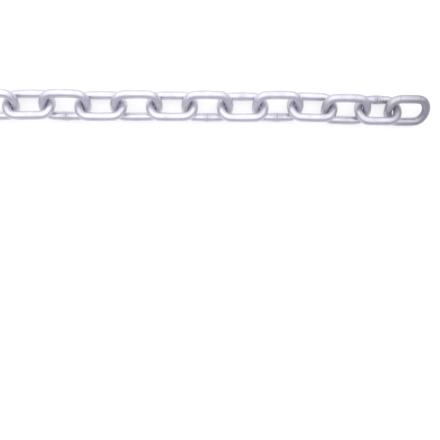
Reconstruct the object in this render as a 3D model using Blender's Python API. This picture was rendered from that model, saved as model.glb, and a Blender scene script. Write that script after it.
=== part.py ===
"""One metre of welded steel chain, lying in a nearly straight line on the floor.

The chain is 31 links, alike but for the last four, which came out a little shorter. Each is one
piece of round galvanised wire, bent to an oval and butt welded in the middle of one side. A link
can't lie flat, because its neighbours' wire passes through it. So every link leans over, with one
side bar on the floor and the other in the air, and the next link leans the other way. The chain
runs along X, and its free end is at +X.

The links are numbered from the -X end. Each link's origin lies at the middle of the wire of the
link before, inside the crown that it hangs on, because that is where it swings.
"""
import math

import bpy
from mathutils import Vector

# Driving dimensions, in metres and radians.
LINKS = 31
WIRE = 0.008
INSIDE_LENGTH = 0.0328
INSIDE_WIDTH = 0.0158
LEAN = math.radians(35)
# The last link lies a little flatter than the others, because nothing pulls at its free end.
END_LEAN = math.radians(33)
# How far each link lies short of pulling the one before it taut. The last one lies looser.
SLACK = 0.0006
LAST_SLACKS = (0.0014,)
# The last four links were bent shorter inside than the others.
LAST_INSIDE_LENGTHS = (0.0320, 0.0316, 0.0291, 0.0282)

# Which way the thirteen links at the free end point, in degrees to the left of +X, and how far to
# the left of the middle of the crown before it each one hangs. The links before them wander by up
# to WANDER degrees and hang in the middle.
END_HEADINGS = (0, 0.4, -0.9, 0, 0, 0, 0, 0, 0, -1.4, -1.2, -0.4, 0)
END_SHIFTS = (
    0, 0, -0.0002, -0.0007, 0.0003, -0.0004, 0, -0.0008, 0.0008, -0.0005, -0.0012, -0.0005, 0
)
WANDER = 0.8
WANDER_STEP = 2.1

# The round wire is drawn with flat sides, whose edges lie on the round.
BEVEL_RESOLUTION = 3
SIDES = 4 + 2 * BEVEL_RESOLUTION
WIRE_RADIUS = WIRE / 2
FLAT_RADIUS = WIRE_RADIUS * math.cos(math.pi / SIDES)
CROWN_STEPS = 8

CROWN_RADIUS = (INSIDE_WIDTH + WIRE) / 2

STEEL_COLOUR = (0.62, 0.62, 0.67, 1)


def clear_scene():
    for thing in list(bpy.data.objects):
        bpy.data.objects.remove(thing, do_unlink=True)


def galvanised_steel():
    material = bpy.data.materials.new("galvanised_steel")
    material.use_nodes = True
    shader = material.node_tree.nodes["Principled BSDF"]
    shader.inputs["Base Color"].default_value = STEEL_COLOUR
    shader.inputs["Metallic"].default_value = 0.9
    shader.inputs["Roughness"].default_value = 0.35
    material.diffuse_color = STEEL_COLOUR
    return material


def inside_lengths():
    """The inside length of each link, from the -X end to the free end."""
    return (INSIDE_LENGTH,) * (LINKS - len(LAST_INSIDE_LENGTHS)) + LAST_INSIDE_LENGTHS


def oval(inside_length):
    """The centre line of the bent wire, in the link's own plane, round the link's middle."""
    half_straight = (inside_length - INSIDE_WIDTH) / 2
    points = []
    for end in (1, -1):
        for step in range(CROWN_STEPS + 1):
            turn = math.pi * (step / CROWN_STEPS - 0.5)
            crown = Vector((math.cos(turn), math.sin(turn), 0)) * CROWN_RADIUS
            points.append(end * (crown + Vector((half_straight, 0, 0))))
    return points


def flat_underneath(lean):
    """The turn of the wire's section that puts one of its flats under the side bar on the floor."""
    down = math.pi / 2 + lean
    first_flat = math.pi / SIDES
    nearest = first_flat + 2 * first_flat * round((down - first_flat) / (2 * first_flat))
    return down - nearest


def link_wire(name, inside_length, lean, hang, material):
    """The bent wire of a link, whose middle lies at hang along X from the curve's origin."""
    curve = bpy.data.curves.new(name, "CURVE")
    curve.dimensions = "3D"
    curve.twist_mode = "Z_UP"
    curve.bevel_depth = WIRE_RADIUS
    curve.bevel_resolution = BEVEL_RESOLUTION
    places = oval(inside_length)
    spline = curve.splines.new("POLY")
    spline.points.add(len(places) - 1)
    spline.use_cyclic_u = True
    spline.use_smooth = True
    for point, place in zip(spline.points, places):
        point.co = (place.x + hang, place.y, place.z, 1)
        point.tilt = -flat_underneath(lean)
    curve.materials.append(material)
    return curve


def headings():
    """Which way each link points, in radians, from the -X end to the free end."""
    wandering = LINKS - len(END_HEADINGS)
    degrees = [WANDER * math.sin(WANDER_STEP * number) for number in range(wandering)]
    degrees.extend(END_HEADINGS)
    return [math.radians(heading) for heading in degrees]


def lay_chain(collection, material):
    """Lays one link after another, each hanging on the crown of the link before."""
    shifts = (0,) * (LINKS - len(END_SHIFTS)) + END_SHIFTS
    slacks = (SLACK,) * (LINKS - len(LAST_SLACKS)) + LAST_SLACKS
    links = []
    crown = Vector((0, 0, 0))
    laid = zip(headings(), shifts, slacks, inside_lengths())
    for number, (heading, shift, slack, inside_length) in enumerate(laid, start=1):
        name = f"link_{number:02d}"
        lean = END_LEAN if number == LINKS else LEAN
        side = -1 if (LINKS - number) % 2 else 1
        # From the middle of the link to the middle of the wire at the top of either crown.
        reach = (inside_length + WIRE) / 2
        hang = inside_length - reach - slack
        wire = link_wire(name, inside_length, lean, hang, material)
        link = bpy.data.objects.new(name, wire)
        crown.y += shift
        link.location = (crown.x, crown.y, CROWN_RADIUS * math.sin(lean) + FLAT_RADIUS)
        link.rotation_euler = (side * lean, 0, heading)
        collection.objects.link(link)
        links.append(link)
        crown += Vector((math.cos(heading), math.sin(heading), 0)) * (hang + reach)
    return links


def centre_over_origin(links):
    """Moves the chain so that the box round it stands centred over the origin."""
    bpy.context.view_layer.update()
    shapes = bpy.context.evaluated_depsgraph_get()
    outline = []
    for link in links:
        shape = link.evaluated_get(shapes)
        outline.extend(link.matrix_world @ vertex.co for vertex in shape.to_mesh().vertices)
        shape.to_mesh_clear()
    middle = [(min(values) + max(values)) / 2 for values in zip(*outline)]
    for link in links:
        link.location.x -= middle[0]
        link.location.y -= middle[1]


clear_scene()
chain = bpy.data.collections.new("steel_chain")
bpy.context.scene.collection.children.link(chain)
centre_over_origin(lay_chain(chain, galvanised_steel()))
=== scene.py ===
"""One metre of bright zinc-plated welded chain, laid nearly straight on a white table.

The camera looks down on the free end. Each of the 31 links takes the place of its plain CAD link,
so this file adds what the real wire has: its round section, its bent crowns, the butt weld in one
side and the zinc on it, and a painted shade inside the crowns where the links meet.
"""
import math
import random

import bmesh
import bpy
import numpy as np
from mathutils import Matrix, Vector


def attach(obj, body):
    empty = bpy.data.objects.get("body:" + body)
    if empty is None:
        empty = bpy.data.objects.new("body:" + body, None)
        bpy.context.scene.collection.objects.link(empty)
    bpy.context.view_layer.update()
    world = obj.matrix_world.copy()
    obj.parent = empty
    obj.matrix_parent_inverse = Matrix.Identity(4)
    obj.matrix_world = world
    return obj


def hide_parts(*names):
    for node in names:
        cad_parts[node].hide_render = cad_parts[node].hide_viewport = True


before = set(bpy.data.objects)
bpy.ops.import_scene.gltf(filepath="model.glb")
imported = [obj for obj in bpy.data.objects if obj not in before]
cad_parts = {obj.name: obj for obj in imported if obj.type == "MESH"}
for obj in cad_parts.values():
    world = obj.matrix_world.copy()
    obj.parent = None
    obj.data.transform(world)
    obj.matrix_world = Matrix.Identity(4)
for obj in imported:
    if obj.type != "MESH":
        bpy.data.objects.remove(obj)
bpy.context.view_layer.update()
bpy.ops.object.select_all(action="DESELECT")


# The camera hangs 627 mm above the table, over the part of the chain that the photograph shows. It
# is tilted a little off upright. The chain enters at the left edge of the picture, and its last
# link ends near the right edge.
camera = bpy.data.objects.new("camera", bpy.data.cameras.new("camera"))
camera.location = (0.2814, -0.0189, 0.627)
camera.rotation_euler = [math.radians(turn) for turn in (-7.82, -2.36, -0.02)]
camera.data.sensor_width = 36
camera.data.lens = 54.52
camera.data.clip_start = 0.01
bpy.context.scene.collection.objects.link(camera)
bpy.context.scene.camera = camera


# The zinc on every link is bright electroplate over drawn steel wire: pale, a little violet, and
# cloudy where it was handled. It is duller inside the crowns, which also carry a mottled violet
# painted shade where the links meet, and it is grey and rough at the weld.
class Socket:
    """A node's output, which can be reckoned with like a number."""

    def __init__(self, tree, link):
        self.tree = tree
        self.link = link

    def maths(self, operation, first, second=0.0):
        return add_node(
            self.tree, "ShaderNodeMath", {"operation": operation}, {0: first, 1: second}
        )

    def __add__(self, other):
        return self.maths("ADD", self, other)

    def __sub__(self, other):
        return self.maths("SUBTRACT", self, other)

    def __rsub__(self, other):
        return self.maths("SUBTRACT", other, self)

    def __mul__(self, other):
        return self.maths("MULTIPLY", self, other)

    __radd__ = __add__
    __rmul__ = __mul__

    def sine(self):
        return self.maths("SINE", self)


def add_node(tree, kind, settings=None, sockets=None, output=0):
    """Adds a node, sets it, feeds its sockets by name or number, and gives back one output."""
    node = tree.nodes.new(kind)
    for name, value in (settings or {}).items():
        setattr(node, name, value)
    for key, value in (sockets or {}).items():
        if isinstance(value, Socket):
            tree.links.new(value.link, node.inputs[key])
        else:
            node.inputs[key].default_value = value
    return Socket(tree, node.outputs[output])


def noise(tree, vector, scale, detail):
    return add_node(
        tree, "ShaderNodeTexNoise", sockets={"Vector": vector, "Scale": scale, "Detail": detail}
    )


def spread(tree, value, low, high):
    """Stretches a value so that low becomes 0 and high becomes 1."""
    return add_node(
        tree, "ShaderNodeMapRange", {"clamp": True},
        {"Value": value, "From Min": low, "From Max": high},
    )


def blended(tree, share, first, second):
    """The second colour laid over the first one, as strongly as its share says."""
    return add_node(
        tree, "ShaderNodeMix", {"data_type": "RGBA"}, {"Factor": share, 6: first, 7: second},
        output=2,
    )


def mark(tree, name):
    """A number that every point of a link carries as an attribute."""
    return add_node(tree, "ShaderNodeAttribute", {"attribute_name": name}, output=2)


def zinc():
    pale = (0.66, 0.65, 0.70, 1)
    clouded = (0.58, 0.57, 0.625, 1)
    speckled = (0.42, 0.41, 0.47, 1)
    # The next colour is the violet of a painted shade inside the crowns.
    violet_crown_shade = (0.42, 0.39, 0.53, 1)
    burnt = (0.45, 0.45, 0.51, 1)
    rippled = (0.40, 0.39, 0.48, 1)
    # The next colour darkens the links towards the free end.
    end_dark = (0.36, 0.355, 0.39, 1)
    # The ripples that trimming left by the weld: their pace along the wire, in radians per metre,
    # how far from a rough weld they reach, and over what length they fade there.
    ripple_pace = 2400.0
    ripple_reach = 0.0075
    ripple_fade = 0.003

    material = bpy.data.materials.new("galvanised_steel")
    material.use_nodes = True
    tree = material.node_tree
    tree.nodes.clear()
    place = add_node(tree, "ShaderNodeTexCoord", output=3)
    wire = add_node(tree, "ShaderNodeAttribute", {"attribute_name": "along_wire"}, output=1)
    rough_weld = mark(tree, "rough_weld")
    weld = mark(tree, "weld") * rough_weld
    crown = mark(tree, "inside_crown")
    end_darkening = mark(tree, "end_darkening")

    clouds = spread(tree, noise(tree, place, 130.0, 4.0), 0.35, 0.68)
    specks = spread(tree, noise(tree, place, 1400.0, 2.0), 0.56, 0.72)
    stretched = add_node(
        tree, "ShaderNodeVectorMath", {"operation": "MULTIPLY"}, {0: wire, 1: (0.06, 1.0, 1.0)}
    )
    drawn_lines = noise(tree, stretched, 1500.0, 2.0)
    handled = spread(tree, noise(tree, place, 60.0, 2.0), 0.45, 0.75)
    # Mottling of the painted shade inside the crowns.
    shade_mottling = spread(tree, noise(tree, place, 620.0, 3.0), 0.45, 0.62)
    from_weld = add_node(tree, "ShaderNodeSeparateXYZ", sockets={"Vector": wire})
    wobble = noise(tree, place, 300.0, 2.0)
    waves = (from_weld * ripple_pace + wobble * 3.0).sine() * 0.5 + 0.5
    ripples_end = rough_weld * ripple_reach
    near_weld = spread(tree, from_weld, ripples_end, ripples_end - ripple_fade)
    ripples = waves * near_weld * rough_weld * rough_weld

    colour = blended(tree, clouds, pale, clouded)
    colour = blended(tree, specks * 0.35, colour, speckled)
    # A mottled violet painted shade inside the crowns, where the links meet.
    colour = blended(tree, crown * (0.1 + shade_mottling * 0.4), colour, violet_crown_shade)
    colour = blended(tree, weld * 0.3, colour, burnt)
    colour = blended(tree, ripples * 0.28, colour, rippled)
    # Darker towards the free end of the chain.
    colour = blended(tree, end_darkening, colour, end_dark)
    roughness = 0.26 + clouds * 0.07 + drawn_lines * 0.10 + handled * 0.08
    roughness = roughness + weld * 0.12 + crown * 0.10
    height = drawn_lines * 0.4 + noise(tree, place, 420.0, 3.0) + specks * 0.15 + ripples * 2.5
    bump = add_node(
        tree, "ShaderNodeBump",
        sockets={"Strength": 0.35, "Distance": 0.00015, "Height": height},
    )
    shader = add_node(
        tree, "ShaderNodeBsdfPrincipled",
        sockets={
            "Base Color": colour,
            "Roughness": roughness,
            "Metallic": 0.92 - weld * 0.15 - crown * 0.15,
            "Normal": bump,
        },
    )
    output = tree.nodes.new("ShaderNodeOutputMaterial")
    tree.links.new(shader.link, output.inputs["Surface"])
    return material


zinc_plate = zinc()


# A link is one length of round wire, bent round to an oval, whose two ends are butt welded in the
# middle of one side. Its crowns are flat on top, with a tighter bend at either shoulder. The weld
# squeezes out a collar, which the machine trims only roughly.
wire_radius = 0.0039
half_width = 0.0118  # From the link's middle to the middle of the wire in its side.
reach = 0.02016  # From the link's middle to the middle of the wire at the top of a crown.
side_bow = 0.00025
shoulder_radius = 0.0080
shoulder_turn = math.radians(53)
top_radius = shoulder_radius + (half_width - shoulder_radius) / math.cos(shoulder_turn)
crown_depth = top_radius - (top_radius - shoulder_radius) * math.sin(shoulder_turn)
half_straight = reach - crown_depth
lean = math.radians(35)
section_sides = 24
plain_steps = 8
shoulder_steps = 5
top_steps = 6
tolerance = 1e-6
# From the weld's middle outwards: how far each ring of the wire lies, and how much it swells.
middle_swell = 0.105
weld_rings = (
    (0.0003, 0.085), (0.0007, 0.040), (0.0012, 0.035), (0.0017, 0.060), (0.0021, 0.075),
    (0.0025, 0.035), (0.0031, 0.020), (0.0036, 0.035), (0.0040, 0.045), (0.0045, 0.010),
    (0.0052, 0.0), (0.0065, 0.0), (0.0082, 0.0),
)
# How far along the wire the weld's grey reaches, and how far into a crown its dullness and painted
# shade set in.
grey_reach = 0.0042
dull_and_shade_bend = 0.005


def bow(x):
    """How far a side of the link bows outwards at x."""
    return side_bow * (1 - (x / half_straight) ** 2)


def pull_side(side, stops):
    """Extrudes the selected end of the wire along one side of the link, through each stop."""
    here = stops[0]
    for there in stops[1:]:
        step = (there - here, side * (bow(there) - bow(here)), 0)
        bpy.ops.mesh.extrude_region_move(TRANSFORM_OT_translate={"value": step})
        here = there


def spin_crown(end):
    """Bends the selected end of the wire round a crown: a shoulder, the top, the other shoulder."""
    shoulder_y = end * (half_width - shoulder_radius)
    bends = (
        (shoulder_steps, shoulder_turn, half_straight, shoulder_y),
        (top_steps, math.pi - 2 * shoulder_turn, reach - top_radius, 0),
        (shoulder_steps, shoulder_turn, half_straight, -shoulder_y),
    )
    for steps, turn, x, y in bends:
        bpy.ops.mesh.spin(steps=steps, angle=turn, center=(end * x, y, 0), axis=(0, 0, 1))


def select_ring(mesh, x, side):
    """Selects the ring of the wire at x on one side of the link, and nothing else."""
    bpy.ops.mesh.select_all(action="DESELECT")
    for vertex in mesh.verts:
        vertex.select = abs(vertex.co.x - x) < tolerance and vertex.co.y * side > 0
    mesh.select_flush(True)


def bend_link():
    """The link as bent, lying flat round the origin, with its weld at the middle of the -Y side."""
    bpy.ops.mesh.primitive_circle_add(
        vertices=section_sides, radius=wire_radius, fill_type="NOTHING",
        location=(0, half_width + bow(0), 0), rotation=(0, math.pi / 2, 0),
    )
    link = bpy.context.object
    link.name = "bent_link"
    bpy.ops.object.transform_apply(location=True, rotation=True, scale=True)
    bpy.ops.object.mode_set(mode="EDIT")
    bpy.ops.mesh.select_all(action="SELECT")
    half = [half_straight * step / plain_steps for step in range(plain_steps + 1)]
    pull_side(1, half)
    spin_crown(1)
    outer = [x for x, _ in weld_rings if x < half_straight]
    stops = [half_straight] + outer[::-1] + [0.0] + [-x for x in outer] + [-half_straight]
    pull_side(-1, stops)
    spin_crown(-1)
    pull_side(1, [-x for x in half[::-1]])
    bpy.ops.mesh.select_all(action="SELECT")
    bpy.ops.mesh.remove_doubles(threshold=tolerance)
    bpy.ops.mesh.normals_make_consistent(inside=False)
    bpy.ops.object.mode_set(mode="OBJECT")
    return link


def swell_weld(link):
    """Adds the weld as a shape key. Each ring swells away from the spot that lies on the floor."""
    bpy.ops.object.shape_key_add(from_mix=False)
    bpy.ops.object.shape_key_add(from_mix=False)
    link.data.shape_keys.key_blocks[-1].name = "weld"
    link.active_shape_key_index = 1
    bpy.ops.object.mode_set(mode="EDIT")
    mesh = bmesh.from_edit_mesh(link.data)
    floor_y = -half_width - wire_radius * math.sin(lean)
    floor_z = -wire_radius * math.cos(lean)
    swells = [(0.0, middle_swell)]
    swells += [(side * x, swell) for x, swell in weld_rings if swell for side in (1, -1)]
    for x, swell in swells:
        select_ring(mesh, x, -1)
        bpy.ops.transform.resize(
            value=(1, 1 + swell, 1 + swell), center_override=(x, floor_y, floor_z)
        )
    bpy.ops.object.mode_set(mode="OBJECT")


def note(mesh, name, values, kind="FLOAT", field="value"):
    """Keeps a value for every point of a mesh as an attribute, which the zinc reads."""
    numbers = np.asarray(values, dtype=np.float32).ravel()
    mesh.attributes.new(name, kind, "POINT").data.foreach_set(field, numbers)


def mark_wire(mesh):
    """Notes on every point how far along the wire it lies from the weld, and which way it faces.

    The points come ring by ring, in the order in which the wire was bent.
    """
    points = np.array([tuple(vertex.co) for vertex in mesh.vertices])
    points = points.reshape(-1, section_sides, 3)
    rings = points.mean(axis=1)
    forwards = np.roll(rings, -1, axis=0) - np.roll(rings, 1, axis=0)
    forwards /= np.linalg.norm(forwards, axis=1)[:, None]
    outwards = np.stack([-forwards[:, 1], forwards[:, 0], forwards[:, 2]], axis=1)
    steps = np.linalg.norm(np.roll(rings, -1, axis=0) - rings, axis=1)
    along = np.cumsum(steps) - steps
    weld_ring = np.argmin(np.abs(rings[:, 0]) + (rings[:, 1] > 0))
    from_weld = np.abs(along - along[weld_ring])
    from_weld = np.minimum(from_weld, steps.sum() - from_weld)[:, None]
    outward = ((points - rings[:, None]) * outwards[:, None]).sum(axis=2)
    from_weld = np.broadcast_to(from_weld, outward.shape)
    bent = np.clip((np.abs(points[..., 0]) - half_straight) / dull_and_shade_bend, 0, 1)
    wire = np.stack([from_weld, outward, points[..., 2]], axis=-1)
    note(mesh, "along_wire", wire, kind="FLOAT_VECTOR", field="vector")
    note(mesh, "weld", np.clip(1.25 - from_weld / grey_reach, 0, 1))
    # The inner side of each crown, where the next link lies, gets a duller finish and a painted
    # shade.
    note(mesh, "inside_crown", np.clip(0.35 - 0.65 * outward / wire_radius, 0, 1) * bent)


bent_link = bend_link()
swell_weld(bent_link)
mark_wire(bent_link.data)
bent_link.data.materials.append(zinc_plate)


# The chain is 31 such links, each threaded through the one before. No two came out of the bender
# and the welder quite alike, so each copy's weld and dents are its own.
chance = random.Random(31)
# The welds that the photograph shows plainly, from 0 for a smooth one to over 1 for the roughest.
# The others are nearly smooth.
seen_welds = {
    "link_21": 0.9, "link_25": 0.7, "link_26": 0.55, "link_27": 0.9, "link_30": 1.25,
}
smooth_weld = 0.15
# The half length of the link that was bent above, as CAD has it. The last links are shorter.
usual_half_length = 0.0244
dent_depth = 0.00025
# The zinc turns darker towards the free end: where along X, and how much.
darkening_places = (0.36, 0.42, 0.455, 0.49)
darkening_amounts = (0, 0.30, 0.36, 1)
dents = bpy.data.textures.new("dents", "CLOUDS")
dents.noise_scale = 0.009
dents.noise_depth = 2


def where_it_lies(node):
    """The matrix that lays a link in its CAD link's place, weld downwards, and its half length."""
    points = np.unique(
        np.round([tuple(vertex.co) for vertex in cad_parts[node].data.vertices], 6), axis=0
    )
    middle = points.mean(axis=0)
    _, width, face = np.linalg.svd(points - middle, full_matrices=False)[2]
    width = Vector(width) * (1 if width[2] > 0 else -1)
    face = Vector(face) * (1 if face[2] > 0 else -1)
    length = width.cross(face)
    matrix = Matrix((length, width, face)).transposed().to_4x4()
    return Matrix.Translation(middle) @ matrix, np.ptp(points @ length) / 2


def shorten(link, amount):
    """Pushes both crowns of a link inwards."""
    for end in (1, -1):
        bpy.ops.object.mode_set(mode="EDIT")
        mesh = bmesh.from_edit_mesh(link.data)
        bpy.ops.mesh.select_all(action="DESELECT")
        for vertex in mesh.verts:
            vertex.select = vertex.co.x * end > half_straight - tolerance
        mesh.select_flush(True)
        bpy.ops.transform.translate(value=(-end * amount, 0, 0))
        bpy.ops.object.mode_set(mode="OBJECT")


def lay_link(node):
    """Copies the bent link, welds it, lays it in the place of a CAD link and dents it."""
    link = bent_link.copy()
    link.data = bent_link.data.copy()
    link.name = link.data.name = node + "_wire"
    bpy.context.scene.collection.objects.link(link)
    bpy.context.view_layer.objects.active = link
    link.select_set(True)
    roughness = seen_welds.get(node, chance.uniform(0.0, smooth_weld))
    link.data.shape_keys.key_blocks["weld"].slider_max = 2
    link.data.shape_keys.key_blocks["weld"].value = roughness
    bpy.ops.object.shape_key_remove(all=True, apply_mix=True)
    place, half_length = where_it_lies(node)
    shorten(link, usual_half_length - half_length)
    link.matrix_world = place
    bpy.ops.object.transform_apply(location=True, rotation=True, scale=True)
    smooth = link.modifiers.new("smooth", "SUBSURF")
    smooth.levels = smooth.render_levels = 1
    bpy.ops.object.modifier_apply(modifier=smooth.name)
    dented = link.modifiers.new("dents", "DISPLACE")
    dented.texture = dents
    dented.texture_coords = "LOCAL"
    dented.strength = dent_depth
    bpy.ops.object.modifier_apply(modifier=dented.name)
    bpy.ops.object.shade_smooth()
    along = np.array([vertex.co.x for vertex in link.data.vertices])
    # How much darker each point is, by where it lies along X.
    note(link.data, "end_darkening", np.interp(along, darkening_places, darkening_amounts))
    note(link.data, "rough_weld", np.full(len(along), roughness))
    link.select_set(False)
    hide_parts(node)
    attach(link, node)


bpy.ops.object.select_all(action="DESELECT")
for node in sorted(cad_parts):
    lay_link(node)
bpy.data.objects.remove(bent_link, do_unlink=True)


# The table is a wide sheet of white card. It is lit so hard that it shows no more than a hint of
# shadow under the wire.
bpy.ops.mesh.primitive_plane_add(size=30, location=(0, 0, -0.0002))
table = bpy.context.object
table.name = "white_card"
card = bpy.data.materials.new("white_card")
card.use_nodes = True
card_shader = card.node_tree.nodes["Principled BSDF"]
card_shader.inputs["Base Color"].default_value = (0.32, 0.32, 0.325, 1)
card_shader.inputs["Roughness"].default_value = 0.8
card_shader.inputs["Emission Color"].default_value = (1, 1, 1, 1)
card_shader.inputs["Emission Strength"].default_value = 0.68
table.data.materials.append(card)


# The studio is a white tent: brightest overhead and at the back, and dimmer and violet in front,
# which is what draws the grey line along the front of every wire.
lamp_tilt = math.radians(31)
lamp_direction = (-0.14, math.sin(lamp_tilt), math.cos(lamp_tilt))
lamp_core = math.radians(24)
lamp_edge = math.radians(80)
dim_violet = (0.62, 0.61, 0.715, 1)
bright_white = (1.78, 1.78, 1.80, 1)
studio = bpy.data.worlds.new("studio")
bpy.context.scene.world = studio
studio.use_nodes = True
tent = studio.node_tree
looking = add_node(tent, "ShaderNodeTexCoord", output=0)
towards_lamp = add_node(
    tent, "ShaderNodeVectorMath", {"operation": "DOT_PRODUCT"}, {0: looking, 1: lamp_direction},
    output=1,
)
bright = add_node(
    tent, "ShaderNodeMapRange", {"interpolation_type": "SMOOTHSTEP"},
    {"Value": towards_lamp, "From Min": math.cos(lamp_edge), "From Max": math.cos(lamp_core)},
)
tent_colour = blended(tent, bright, dim_violet, bright_white)
tent.links.new(tent_colour.link, tent.nodes["Background"].inputs["Color"])
tent.nodes["Background"].inputs["Strength"].default_value = 1.0

bpy.context.scene.view_settings.view_transform = "Standard"
